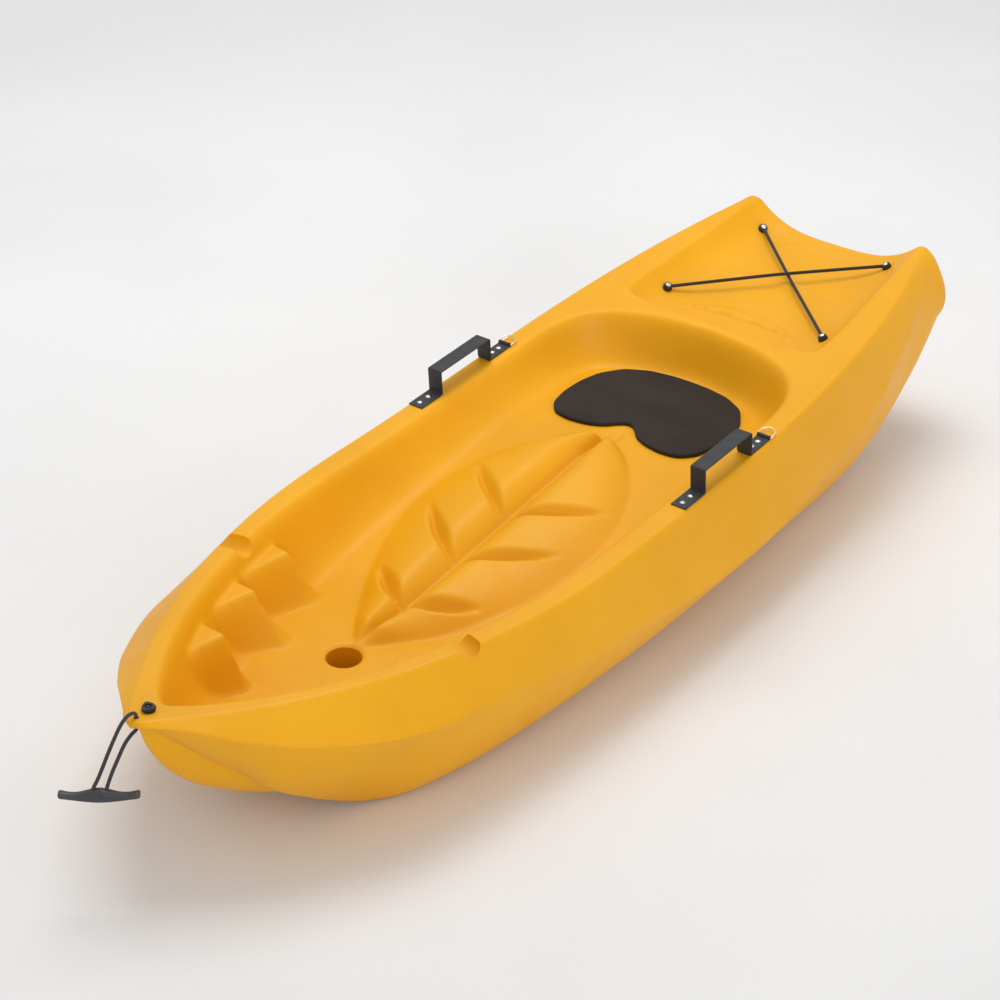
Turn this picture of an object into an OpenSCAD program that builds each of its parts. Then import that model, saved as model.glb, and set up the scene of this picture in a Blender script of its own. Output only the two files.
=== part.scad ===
// Small sit-on-top kayak: a hollow moulded hull with a seat pad, two folding
// side handles with tie-down rings, a bow rope with a T toggle, a drain plug
// and two elastic cords over the rear well.
// Frame: X across (+X is the paddler's left), Y from bow (-Y) to stern (+Y),
// Z up, with the ground under the hull at Z = 0.

/* [Hull] */
// Length from the bow tip to the stern horns
hull_length = 1830; // [1810:5:1850]
// Width over the widest part of the sides
hull_beam = 640; // [630:2:650]
// Wall thickness of the moulding
wall = 3; // [2.8:0.1:3.6]
// Radius of the hole that drains the cockpit
scupper_r = 28; // [24:1:30]
// Diameter of the rope hole in the bow tip
rope_hole_d = 8; // [7.5:0.5:9]

/* [Side handles] */
// Width of the handle strap
strap_w = 29; // [24:1:32]
// Thickness of the handle strap
strap_t = 2; // [1.6:0.2:2.4]
// Length of the grip between its two folds
grip_len = 130; // [120:2:136]
// Height of the grip's underside above the deck
grip_h = 42; // [38:1:46]
// Length of each foot of the handle
foot_len = 54; // [50:1:56]

/* [Fittings] */
// Diameter of the elastic cords
bungee_d = 6; // [5:0.5:7]
// Diameter of the bow rope
rope_d = 5.5; // [4.5:0.5:6]
// Length of the T toggle
toggle_len = 112; // [100:2:120]
// Thickness of the foam seat pad
pad_t = 7; // [5:1:9]

/* [Hidden] */
$fn = 48;

// Colours
YELLOW = [0.96, 0.66, 0.12];
BLACK = [0.14, 0.14, 0.15];
STRAP = [0.20, 0.21, 0.23];
STEEL = [0.75, 0.76, 0.78];
BRASS = [0.78, 0.62, 0.30];

// Scale of the hull lines against the length and beam they were drawn at, and
// the station that the origin is at, midway between the hull's two ends
ky = hull_length / 1830;
kx = hull_beam / 640;
mid_y = 12.25;
function y_at(y) = (y - mid_y) * ky;

// Landmarks along Y, before scaling
tip_y = -919;
lip_end_y = -901;
cockpit_front = -852;
cockpit_wide_front = -161;
cockpit_wide_rear = 200;
cockpit_rear = 488;
well_front = 520;
stern_y = 905;
transom_y = 945;
transom_mid_z = 222;
scupper_y = -476;
rope_hole_y = -905;
plug_y = -881;

// Ship's lines: [station, half-breadth, height] of the edge between deck and hull
CHINE = [[-919, 9, 263], [-912, 20, 262], [-895, 39, 260], [-866, 74, 253], [-823, 124, 234],
    [-745, 192, 211], [-610, 264, 189], [-450, 291, 179], [-270, 308, 161], [-100, 317, 142],
    [60, 320, 131], [250, 316, 134], [450, 298, 162], [600, 285, 200], [700, 267, 246],
    [790, 243, 284], [860, 222, 308], [905, 205, 334]];
// [station, half-breadth, height] of the crease beside the centre keel
CREASE = [[-919, 2, 257], [-901, 3, 254], [-877, 20, 232], [-817, 42, 168], [-776, 62, 128],
    [-744, 79, 94], [-693, 88, 60], [-650, 84, 44], [-560, 76, 36], [-300, 75, 34],
    [500, 75, 34], [700, 72, 60], [820, 66, 112], [905, 60, 182]];
// [station, half-breadth, height] of the flat strip under each side keel
STRIP = [[-919, 4, 257], [-901, 6, 254], [-877, 23, 233], [-817, 47, 168], [-776, 70, 129],
    [-744, 92, 93], [-693, 108, 58], [-651, 114, 30], [-600, 132, 8], [-540, 152, 0],
    [-400, 165, 0], [-100, 166, 0], [450, 164, 0], [600, 158, 4], [700, 150, 24],
    [800, 138, 76], [905, 120, 168]];
// [station, half-breadth, height] of the point the turn of the bilge bends round
BILGE = [[-919, 7, 259], [-901, 14, 256], [-877, 46, 238], [-817, 90, 172], [-776, 116, 134],
    [-744, 132, 100], [-693, 138, 64], [-616, 152, 20], [-552, 198, 5], [-436, 242, 4],
    [-300, 258, 4], [-120, 259, 4], [0, 250, 4], [129, 238, 5], [300, 236, 5],
    [450, 242, 6], [650, 256, 34], [800, 268, 110], [905, 282, 214]];

function clamp01(t) = max(0, min(1, t));
function ease(t) = let(u = clamp01(t)) u * u * (3 - 2 * u);
// A straight ramp from 0 to 1 whose two ends are rounded over a share w of it
function ramp(t, w = 0.2) =
    let(u = clamp01(t), m = 1 / (1 - w))
    u < w ? m * u * u / (2 * w) : u < 1 - w ? m * (u - w / 2) : 1 - m * (1 - u) * (1 - u) / (2 * w);
function lerp(a, b, t) = a + (b - a) * t;
// Value of column c of a table of stations at y, by a cubic through the stations
function seg(tab, y, i = 0) =
    (i >= len(tab) - 2 || y < tab[i + 1][0]) ? i : seg(tab, y, i + 1);
function slope(tab, i, c) =
    let(a = max(0, i - 1), b = min(len(tab) - 1, i + 1))
    (tab[b][c] - tab[a][c]) / (tab[b][0] - tab[a][0]);
function line(tab, y, c) =
    let(i = seg(tab, y), p = tab[i], q = tab[i + 1], h = q[0] - p[0],
        t = clamp01((y - p[0]) / h), m = slope(tab, i, c) * h, n = slope(tab, i + 1, c) * h)
    (2*t*t*t - 3*t*t + 1) * p[c] + (t*t*t - 2*t*t + t) * m
        + (3*t*t - 2*t*t*t) * q[c] + (t*t*t - t*t) * n;

// Height of the rim and side band above the ground
function sheer(y) = 254 + 100 * pow(max(0, (y + 300) / 1215), 1.8)
    + 16 * pow(max(0, (-500 - y) / 415), 2);
// Half-breadth of the side band's outer edge
function band(y) = y < -150
    ? 280 * pow(max(0.0001, 1 - pow(min(1, (-150 - y) / 769), 2.2)), 0.95)
    : y < 150 ? 280 : 280 * (1 - 0.343 * pow((y - 150) / 760, 2.5));
// Half-breadth of the cockpit's mouth
function mouth(y) = y <= cockpit_front || y >= cockpit_rear ? 0
    : y < cockpit_wide_front
    ? 238 * pow(1 - pow((cockpit_wide_front - y) / (cockpit_wide_front - cockpit_front), 2.2), 0.8)
    : y < cockpit_wide_rear ? 238
    : 238 * pow(1 - pow((y - cockpit_wide_rear) / (cockpit_rear - cockpit_wide_rear), 5), 0.4545);
// Half-breadth of the rear well's mouth
function well(y) = y <= well_front ? 0
    : lerp(208, 172, clamp01((y - 590) / 325)) * pow(1 - pow(1 - clamp01((y - well_front) / 34), 2.4), 0.42);
// Height of the cockpit floor and of the leg mounds on it
function floor_z(y) = 130 + 20 * ease((-600 - y) / 200) + 78 * ramp((y + 450) / 655);
function mound_w(y) = y < -440 || y > 200 ? 0
    : 168 * pow(sin(180 * pow((y + 440) / 640, 1.25)), 0.62);
function mound_z(x, y) =
    let(w = mound_w(y))
    w < 1 ? 0 : 26 * pow(max(0, 1 - pow(abs(x) / w, 2.4)), 0.8) * ease(w / 90)
        - 16 * max(0, 1 - abs(x) / 46) * ease(w / 90);
// The heel ribs: a row of three V shaped hollows in the mounds
RIBS = [[-333, -275, 100], [-205, -112, 130], [-75, 15, 128]];
function rib_z(x, y) =
    let(ax = abs(x))
    -max([for (r = RIBS)
        let(t = ax / r[2], yc = lerp(r[0], r[1], pow(t, 1.3)), d = y - yc, w = 30 * sin(180 * clamp01(t)))
        (t < 1 && w > 1 && d > -w * 0.5 && d < w) ? 9 * sin(180 * t)
            * (d < 0 ? 1 + d / (w * 0.5) : 1 - d / w) : 0]);
// Depth below the rim at plan distance d inside a cockpit edge, as a share
function wall_share(d, width) = 1 - pow(1 - clamp01(d / width), 2.3);
// The foot steps: three ledges on each side wall, [rear edge y, ledge width there]
STEPS = [[-626, 50], [-512, 46], [-398, 42]];
step_top = 220;
step_len = 84;
function step_z(x, y, base) =
    max([for (s = STEPS)
        let(lead = (s[0] - y) / step_len, inner = mouth(y) - s[1] * (1 - clamp01(lead)),
            flare = clamp01((step_top - base) / 90) * 34)
        lead >= 1 || y > s[0] + flare || mouth(y) < 1 ? base
        : let(over = max(0, y - s[0]) / max(1, flare), side = clamp01((abs(x) - inner + 30) / 30))
            lerp(base, step_top, side * (1 - pow(over, 0.7)))]);
// Height of the rear well's floor on the centre line, and how square the well is across
function well_floor(y) = 268 + 36 * pow(max(0, (y - well_front) / 395), 1.35);
function well_dish(y) = lerp(6, 5, clamp01((y - well_front) / 350)) - 1.8 * clamp01((y - 870) / 35);
// Height of the deck, cockpit and rear well at a point
function deck_z(x, y, detail = true) =
    let(rim = sheer(y), m = mouth(y), wl = well(y), ax = abs(x))
    m > ax
    ? let(dm = (mouth(y + 2) - mouth(y - 2)) / 4,
          d = (m - ax) / sqrt(1 + dm * dm),
          low = floor_z(y) + mound_z(x, y) + (detail ? rib_z(x, y) : -8 * ease((y + 450) / 60) * ease((240 - y) / 60)),
          plain = rim - (rim - low) * wall_share(d, lerp(70, 58, ease((y - 100) / 300))))
      detail && y < -360 ? max(plain, step_z(x, y, plain)) : plain
    : wl > ax
    ? rim - (rim - well_floor(y)) * (1 - pow(ax / wl, well_dish(y))) * ease((y - well_front) / 40)
    : rim;

// One half of a section through the hull, from the keel round to the cockpit's
// centre line, as [x, z] points
BOTTOM_T = [0.25, 0.5, 0.75];
DECK_U = [1, 0.975, 0.94, 0.89, 0.83, 0.76, 0.67, 0.57, 0.46, 0.35, 0.24, 0.14, 0.06, 0];
function keel_z(y) = y < lip_end_y ? 254
    : y < 600 ? 8 + 246 * (1 - pow(1 - pow(1 - clamp01((y - lip_end_y) / 330), 2), 0.65))
    : 8 + 160 * pow((y - 600) / 305, 2.1);
function inner_w(y) = let(m = mouth(y), w = well(y)) max(m, w, band(y) * 0.3 + 1);
function half_section(y) =
    let(ch = [line(CHINE, y, 1), line(CHINE, y, 2)],
        cr = [line(CREASE, y, 1), max(line(CREASE, y, 2), keel_z(y) + 0.5)],
        st = [line(STRIP, y, 1), max(0, line(STRIP, y, 2))],
        bi = [line(BILGE, y, 1), line(BILGE, y, 2)],
        bw = min(max(band(y), ch[0] * 0.6), ch[0] - 1.5), rim = sheer(y),
        iw = min(inner_w(y), max(bw - 2, bw * 0.7)),
        strip_w = max(0.5, 12 * clamp01((y + 919) / 400)))
    concat(
        [[0, keel_z(y)], [cr[0] * 0.5, lerp(keel_z(y), cr[1], 0.25)], cr,
         [(cr[0] + st[0] - strip_w) / 2, lerp(cr[1], st[1], 0.72)],
         [max(cr[0] + 0.3, st[0] - strip_w), st[1]], [st[0] + strip_w, st[1]]],
        [for (t = BOTTOM_T) let(a = [st[0] + strip_w, st[1]])
            a * (1 - t) * (1 - t) + bi * 2 * t * (1 - t) + ch * t * t],
        [ch],
        [[lerp(ch[0], bw, 0.5) + 2.5 * clamp01((y + 900) / 80), lerp(ch[1], rim, 0.5)],
         [bw, rim - 1.5], [lerp(bw, iw, 0.25), rim]],
        [for (u = DECK_U) [iw * u, deck_z(iw * u, y)]]);

// The last sections close the stern over a rounded transom
function stern_share(y) = y <= stern_y ? 1
    : pow(max(0, 1 - pow((y - stern_y) / (transom_y - stern_y), 2.4)), 0.42);
function section_at(y) =
    y <= stern_y ? half_section(y)
    : let(s = stern_share(y))
      [for (p = half_section(stern_y)) [p[0] * (0.8 + 0.2 * s), lerp(transom_mid_z, p[1], s)]];
function whole(h) = concat([for (p = h) p], [for (i = [len(h) - 2 : -1 : 1]) [-h[i][0], h[i][1]]]);
function ring3(y, pts) = [for (p = pts) [p[0] * kx, y_at(y), p[1]]];

// The inside of the moulding: the deck lowered by the wall thickness, measured
// square to its slopes, and the bottom raised by the same amount
function deck_under(x, y) = let(w = wall * 1.1)
    min([for (k = [0 : 45 : 315]) deck_z(abs(x) + w * cos(k), y + w * sin(k), false)]) - wall;
function inside_at(y) =
    y <= stern_y ? inside_half(y)
    : let(s = stern_share(y + wall + 3))
      [for (p = inside_half(stern_y)) [p[0] * (0.8 + 0.2 * s), lerp(transom_mid_z, p[1], s)]];
INSIDE_U = [1, 0.95, 0.89, 0.81, 0.7, 0.56, 0.4, 0.22, 0.1, 0];
function inside_half(y) =
    let(s = half_section(y), w = wall, ch = line(CHINE, y, 1),
        bw = min(max(band(y), ch * 0.6), ch - 1.5), top = sheer(y) - w)
    concat([[0, s[0][1] + w], [s[2][0], s[2][1] + w * 1.2], [s[4][0], s[4][1] + w], [s[5][0], s[5][1] + w]],
        [for (i = [6 : 8]) [s[i][0] - w * 0.7, s[i][1] + w * 0.8]],
        [[ch - w * 1.1, s[9][1]], [bw - w * 1.1, top]],
        [for (u = INSIDE_U) let(x = min(bw - w * 1.4, inner_w(y) + w) * u) [x, min(top, deck_under(x, y))]]);
OUTER_Y = concat([-918.5, -911, -900.4, -890, -872, -851, -836, -812, -780, -744, -708],
    [for (i = [0 : 14]) -676 + 25 * i], [for (i = [0 : 8]) -301 + 38 * i],
    [for (i = [1 : 7]) 3 + 52 * i], [400, 430, 452, 468, 480, 488, 505, 520, 528, 537, 548, 566],
    [for (i = [1 : 6]) 566 + 52 * i], [905, 920, 933, 943]);
INNER_Y = concat([-868, -851, -830, -800, -765, -720], [for (i = [0 : 6]) -675 + 45 * i],
    [for (i = [1 : 6]) -405 + 90 * i], [220, 290, 335, 370, 400, 425, 445, 460, 473, 484, 497],
    [530, 539, 548, 558, 575, 618, 670, 722, 774, 826, 878, 905, 918, 930]);

// A closed skin through a list of rings of equal length; each end is closed by a
// fan round a point midway between its keel and its deck
function ring_middle(r) = (r[0] + r[len(r) / 2]) / 2;
module skin(rings) {
    n = len(rings[0]);
    m = len(rings);
    points = concat([for (r = rings) each r], [ring_middle(rings[0]), ring_middle(rings[m - 1])]);
    sides = [for (i = [0 : m - 2], j = [0 : n - 1])
        let(k = (j + 1) % n)
        each [[i * n + j, i * n + k, (i + 1) * n + k], [i * n + j, (i + 1) * n + k, (i + 1) * n + j]]];
    fore = [for (j = [0 : n - 1]) [m * n, (j + 1) % n, j]];
    aft = [for (j = [0 : n - 1]) [m * n + 1, (m - 1) * n + j, (m - 1) * n + (j + 1) % n]];
    polyhedron(points = points, faces = concat(sides, fore, aft), convexity = 12);
}
module hull_outside() {
    skin([for (y = OUTER_Y) ring3(y, whole(section_at(y)))]);
}
module hull_inside() {
    skin([for (y = INNER_Y) ring3(y, whole(inside_at(y)))]);
}

// Landmarks of the fittings, in the model's own scale
HANDLE_X = 265 * kx;
HANDLE_Y = y_at(140);
handle_slope = atan((sheer(270) - sheer(10)) / 260);
deck_gap = 0.6;
handle_z = (sheer(40) + sheer(240)) / 2 + deck_gap;
foot_far = grip_len / 2 + strap_t + foot_len;
FOOT_SCREWS = [-foot_far + 12, -foot_far + 34, foot_far - 34, foot_far - 16];
m5_r = 2.5;
insert_r = 4;
insert_len = 13;
// Elastic cord ends: [x, y, height of the cord's centre]
EYELETS = [[164, 608], [-164, 608], [133, 872], [-133, 872]];
eyelet_h = 9;
eyelet_r = 8.5;
function eyelet_pos(i) = let(e = EYELETS[i]) [e[0] * kx, y_at(e[1]), deck_z(abs(e[0]), e[1])];
// The well's side slopes, so each eyelet stands square to the surface
function eyelet_tilt(i) = let(e = EYELETS[i], ax = abs(e[0]))
    [atan((deck_z(ax, e[1] + 4) - deck_z(ax, e[1] - 4)) / 8),
     -sign(e[0]) * atan((deck_z(ax + 4, e[1]) - deck_z(ax - 4, e[1])) / 8)];
function eyelet_axis(i) = let(t = eyelet_tilt(i)) [cos(t[0]) * sin(t[1]), -sin(t[0]), cos(t[0]) * cos(t[1])];
module at_eyelet(i) {
    translate(eyelet_pos(i)) rotate([eyelet_tilt(i)[0], eyelet_tilt(i)[1], 0]) children();
}
// Depth that the flat seat under each eyelet is cut below the deck
seat_cut = 0.6;
module at_handle(side) {
    translate([side * HANDLE_X, HANDLE_Y, handle_z]) rotate([handle_slope, 0, 0]) children();
}
drain_r = 9;
plug_z = sheer(plug_y);
drain_len = 14;

// The moulded hull: hollow, with solid bosses where it is bored
boss_r = 8;
boss_len = 16;
rest_y = -458;
rest_r = 14;
rest_len = 30;
// The paddle rests: a round-ended scoop across the cockpit's rim on each side
module paddle_rest(side, r) {
    translate([side * (mouth(rest_y) - 14) * kx, y_at(rest_y), sheer(rest_y) + rest_r - 10]) {
        rotate([0, side * 90, 0]) cylinder(h = rest_len, r = r);
        translate([side * rest_len, 0, 0]) sphere(r = r);
    }
}
module insert_holes() {
    for (side = [-1, 1]) at_handle(side) for (y = FOOT_SCREWS)
        translate([0, y, -deck_gap - insert_len]) cylinder(h = 20, r = insert_r);
    for (i = [0 : 3]) at_eyelet(i) {
        translate([0, 0, -insert_len]) cylinder(h = 20, r = insert_r);
        translate([0, 0, -seat_cut]) cylinder(h = 16, r = eyelet_r + 1.2);
    }
}
module hollow() {
    difference() {
        hull_inside();
        translate([0, y_at(scupper_y), 0]) cylinder(h = 300, r = scupper_r + wall);
        for (i = [0 : 3]) at_eyelet(i)
            translate([0, 0, -boss_len]) cylinder(h = boss_len + 4, r = boss_r);
        for (side = [-1, 1]) at_handle(side) for (y = FOOT_SCREWS)
            translate([0, y, -boss_len]) cylinder(h = boss_len + 4, r = boss_r);
        for (side = [-1, 1]) paddle_rest(side, rest_r + wall);
    }
}
module hull_shell() {
    difference() {
        hull_outside();
        hollow();
        for (side = [-1, 1]) paddle_rest(side, rest_r);
        insert_holes();
        // the drain's passage into the hollow
        translate([0, y_at(plug_y) + 4, 225]) rotate([-90, 0, 0]) cylinder(h = 40, r = 5);
        translate([0, y_at(plug_y), 226]) cylinder(h = 70, r = 6);
    }
}
module hull() {
    color(YELLOW) difference() {
        hull_shell();
        translate([0, y_at(scupper_y), -10]) cylinder(h = 200, r = scupper_r);
        translate([0, y_at(rope_hole_y), 200]) cylinder(h = 100, r = rope_hole_d / 2);
        translate([0, y_at(plug_y), plug_z - drain_len]) cylinder(h = 40, r = drain_r);
    }
}

// Flared threaded insert moulded into the hull under a screw
module insert() {
    color(BRASS) difference() {
        cylinder(h = insert_len - 0.6, r = insert_r);
        translate([0, 0, -1]) cylinder(h = insert_len + 2, r = m5_r);
    }
}
module handle_inserts() {
    for (side = [-1, 1]) at_handle(side) for (y = FOOT_SCREWS)
        translate([0, y, -deck_gap - insert_len]) insert();
}
module bungee_inserts() {
    for (i = [0 : 3]) at_eyelet(i) translate([0, 0, -insert_len]) insert();
}
// Pan-head screw, origin under its head
module screw(shank) {
    color(STEEL) {
        translate([0, 0, -shank]) cylinder(h = shank, r = m5_r);
        difference() {
            intersection() {
                cylinder(h = 2.6, r = 4.6);
                translate([0, 0, -3.6]) sphere(r = 6.4);
            }
            for (a = [0, 90]) rotate([0, 0, a]) translate([-2.4, -0.5, 1.3]) cube([4.8, 1, 3]);
        }
    }
}

// Foam seat pad: a rounded seat shape with a notch at the front centre
PAD = [[0, 262], [16, 256], [34, 234], [60, 222], [96, 216], [128, 220], [150, 244], [158, 282],
    [157, 326], [147, 370], [120, 410], [78, 432], [32, 439], [0, 440]];
module pad_outline() {
    offset(r = 8) offset(delta = -8)
        polygon(concat(PAD, [for (i = [len(PAD) - 2 : -1 : 1]) [-PAD[i][0], PAD[i][1]]]));
}
pad_z = deck_z(0, 300);
pad_gap = 0.3;
module seat_pad() {
    color(BLACK) translate([0, y_at(0), pad_z + pad_gap]) linear_extrude(pad_t) pad_outline();
}

// Drain plug: insert in the deck, rubber seal and screwed cap
plug_head_r = 11;
seal_t = 1.6;
plug_stem_r = 6.9;
module drain_insert() {
    color(BLACK) translate([0, y_at(plug_y), plug_z - drain_len]) difference() {
        cylinder(h = drain_len - 0.4, r = drain_r);
        translate([0, 0, -1]) cylinder(h = drain_len + 2, r = plug_stem_r + 0.1);
    }
}
module drain_seal() {
    color([0.08, 0.08, 0.08]) translate([0, y_at(plug_y), plug_z + 2]) difference() {
        cylinder(h = seal_t, r = plug_head_r - 1);
        translate([0, 0, -1]) cylinder(h = seal_t + 2, r = plug_stem_r + 0.05);
    }
}
module drain_plug() {
    color(BLACK) translate([0, y_at(plug_y), plug_z + 2 + seal_t + 0.05]) {
        difference() {
            union() {
                cylinder(h = 4, r = plug_head_r - 2);
                for (a = [0 : 120 : 359]) rotate([0, 0, a + 30]) translate([plug_head_r - 4.5, 0, 0])
                    cylinder(h = 4, r = 4.5);
            }
            translate([0, 0, 2]) cylinder(h = 4, r = 5.5);
        }
        translate([0, 0, 1]) cylinder(h = 2.6, r = 3);
        translate([0, 0, -10]) cylinder(h = 11, r = plug_stem_r);
    }
}

// Bow rope: a loop through the bow tip and the toggle
toggle_turn = 38;
toggle_y = -985;
toggle_z = 185;
strand_gap = 9;
ROPE = [[0, -905, 264], [0, -905, 271], [0, -906.5, 276], [0, -911, 279.5], [-0.5, -918, 280], [-1, -926, 277],
    [-2, -935, 269], [-3, -946, 255], [-4, -958, 238], [-5, -969, 221], [-6, -979, 206], [-7, -988, 195],
    [-7.1, -990.5, 188], [-5.5, -989.3, 181.5], [0, -985, 179], [5.5, -980.7, 181.5], [7.1, -979.5, 188],
    [6.5, -973, 199], [5, -962, 212], [3.5, -948, 226], [1.5, -932, 240],
    [0.5, -918, 247], [0, -909, 249], [0, -905.5, 252], [0, -905, 258]];
ROPE_SIDES = 10;
function catmull(a, b, c, d, t) = 0.5 * ((2 * b) + (c - a) * t + (2 * a - 5 * b + 4 * c - d) * t * t
    + (3 * b - a - 3 * c + d) * t * t * t);
rope_path = concat([for (i = [0 : len(ROPE) - 2], t = [0, 0.5])
        catmull(ROPE[max(0, i - 1)], ROPE[i], ROPE[i + 1], ROPE[min(len(ROPE) - 1, i + 2)], t)],
    [ROPE[len(ROPE) - 1]]);
function unit(v) = v / max(0.0001, norm(v));
function tube_ring(path, i, d, n) =
    let(m = len(path), v = unit(path[min(m - 1, i + 1)] - path[max(0, i - 1)]),
        e = unit([1, 0, 0] - v * v[0]), f = cross(v, e))
    [for (k = [0 : n - 1]) path[i] + d / 2 * (cos(360 * k / n) * e + sin(360 * k / n) * f)];
// A tube of diameter d and n sides swept along a path
module tube(path, d, n) {
    m = len(path);
    rings = [for (i = [0 : m - 1]) tube_ring(path, i, d, n)];
    sides = [for (i = [0 : m - 2], j = [0 : n - 1])
        let(k = (j + 1) % n)
        each [[i * n + j, (i + 1) * n + k, i * n + k], [i * n + j, (i + 1) * n + j, (i + 1) * n + k]]];
    polyhedron(points = [for (r = rings) each r],
        faces = concat(sides, [[for (j = [0 : n - 1]) j]],
            [[for (j = [n - 1 : -1 : 0]) (m - 1) * n + j]]), convexity = 6);
}
module bow_rope() {
    color(BLACK) translate([0, y_at(0), 0]) tube(rope_path, rope_d, ROPE_SIDES);
}
// T toggle: a bar that swells at its middle and flares at its ends
TOGGLE = [[0, 0], [9, 0], [8.6, 14], [6.8, 34], [6.6, toggle_len / 2 - 10],
    [7.6, toggle_len / 2 - 2], [5.5, toggle_len / 2], [0, toggle_len / 2]];
module rope_toggle() {
    color([0.28, 0.28, 0.29]) translate([0, y_at(toggle_y), toggle_z]) rotate([0, 0, toggle_turn])
        difference() {
            for (side = [0, 1]) mirror([side, 0, 0]) rotate([0, 90, 0]) rotate_extrude() polygon(TOGGLE);
            for (side = [-1, 1])
                translate([side * strand_gap, 0, -4]) cylinder(h = 30, r = rope_d / 2 + 0.4);
            translate([-strand_gap, 0, -6]) rotate([0, 90, 0])
                cylinder(h = 2 * strand_gap, r = rope_d / 2 + 1.2);
        }
}

// Elastic cords crossing over the rear well, one above the other
cord_lift = 5;
function cord_end(i) = eyelet_pos(i) + cord_lift * eyelet_axis(i);
cross_lift = 3.2;
CORD_SIDES = 12;
module bungee(from, to, lift) {
    a = cord_end(from);
    b = cord_end(to);
    mid = (a + b) / 2 + [0, 0, lift];
    inset_a = a + unit(mid - a) * (eyelet_r - 2);
    inset_b = b + unit(mid - b) * (eyelet_r - 2);
    color(BLACK) tube([inset_a, mid, inset_b], bungee_d, CORD_SIDES);
}
module bungee_cord_upper() { bungee(1, 2, cross_lift); }
module bungee_cord_lower() { bungee(0, 3, -cross_lift); }
module cord_hole(a, b) {
    v = b - a;
    l = norm(v);
    translate(a) rotate([0, acos(v[2] / l), atan2(v[1], v[0])]) cylinder(h = l, r = bungee_d / 2);
}
// Eyelet: a black button screwed down over the cord's end
module eyelet(i, to, lift) {
    a = cord_end(i);
    b = cord_end(to);
    mid = (a + b) / 2 + [0, 0, lift];
    color(BLACK) difference() {
        at_eyelet(i) rotate_extrude() polygon([[m5_r, 0.05 - seat_cut], [eyelet_r, 0.05 - seat_cut], [eyelet_r, 5],
            [eyelet_r - 1.6, eyelet_h], [m5_r, eyelet_h]]);
        cord_hole(a + unit(mid - a) * (eyelet_r - 2), mid);
    }
}
module bungee_eyelet_front_left() { eyelet(0, 3, -cross_lift); }
module bungee_eyelet_front_right() { eyelet(1, 2, cross_lift); }
module bungee_eyelet_rear_left() { eyelet(2, 1, cross_lift); }
module bungee_eyelet_rear_right() { eyelet(3, 0, -cross_lift); }
module bungee_screws() {
    for (i = [0 : 3]) at_eyelet(i) translate([0, 0, eyelet_h]) screw(eyelet_h + insert_len - 2);
}

// Side handle: a flat strap folded into a hat shape, in five lengths
g2 = grip_len / 2;
fold_gap = 0.3;
loop_y = foot_far + 2.2;
loop_r = 3.3;
ring_wire_r = 1.2;
module foot_holes(ys) {
    for (y = ys) translate([0, y, -5]) cylinder(h = 20, r = m5_r + 0.2);
}
// The front foot and the grip run to the strap's outer face at the folds in
// front, the rear leg and foot likewise behind, so the four folds make a
// parallelogram that leans aft as one
module front_foot() {
    color(STRAP) difference() {
        translate([-strap_w / 2, -foot_far, 0]) cube([strap_w, foot_far - g2, strap_t]);
        foot_holes([FOOT_SCREWS[0], FOOT_SCREWS[1]]);
    }
}
module front_leg() {
    color(STRAP) translate([-strap_w / 2, -g2 - strap_t, strap_t + fold_gap])
        cube([strap_w, strap_t, grip_h - strap_t - 2 * fold_gap]);
}
module grip() {
    color(STRAP) translate([-strap_w / 2, -g2 - strap_t, grip_h]) cube([strap_w, grip_len + strap_t, strap_t]);
}
module rear_leg() {
    color(STRAP) translate([-strap_w / 2, g2 + fold_gap, strap_t + fold_gap])
        cube([strap_w, strap_t - fold_gap, grip_h - fold_gap]);
}
module rear_foot() {
    color(STRAP) difference() {
        union() {
            translate([-strap_w / 2, g2, 0]) cube([strap_w, foot_far - g2 - 0.5, strap_t]);
            translate([-strap_w / 2 + 3, loop_y, loop_r]) rotate([0, 90, 0])
                cylinder(h = strap_w - 6, r = loop_r);
        }
        translate([-strap_w, loop_y, loop_r]) rotate([0, 90, 0])
            cylinder(h = 2 * strap_w, r = ring_wire_r + 0.05);
        foot_holes([FOOT_SCREWS[2], FOOT_SCREWS[3]]);
    }
}
module foot_screws() {
    for (y = FOOT_SCREWS) translate([0, y, strap_t]) screw(strap_t + deck_gap + insert_len - 2);
}
// Wire D ring: a straight bar through the foot's loop, and a bow
ring_r = 13;
ring_tilt = 9;
module ring() {
    color([0.86, 0.74, 0.64]) translate([0, loop_y, loop_r]) rotate([ring_tilt, 0, 0]) {
        translate([-ring_r, 0, 0]) rotate([0, 90, 0]) cylinder(h = 2 * ring_r, r = ring_wire_r);
        for (side = [-1, 1]) translate([side * ring_r, 0, 0]) {
            sphere(r = ring_wire_r);
            rotate([-90, 0, 0]) cylinder(h = 9, r = ring_wire_r);
        }
        translate([0, 9, 0]) rotate_extrude(angle = 180) translate([ring_r, 0]) circle(r = ring_wire_r);
    }
}
module left_front_foot() { at_handle(1) front_foot(); }
module left_front_leg() { at_handle(1) front_leg(); }
module left_grip() { at_handle(1) grip(); }
module left_rear_leg() { at_handle(1) rear_leg(); }
module left_rear_foot() { at_handle(1) rear_foot(); }
module left_foot_screws() { at_handle(1) foot_screws(); }
module left_ring() { at_handle(1) ring(); }
module right_front_foot() { at_handle(-1) front_foot(); }
module right_front_leg() { at_handle(-1) front_leg(); }
module right_grip() { at_handle(-1) grip(); }
module right_rear_leg() { at_handle(-1) rear_leg(); }
module right_rear_foot() { at_handle(-1) rear_foot(); }
module right_foot_screws() { at_handle(-1) foot_screws(); }
module right_ring() { at_handle(-1) ring(); }

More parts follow.
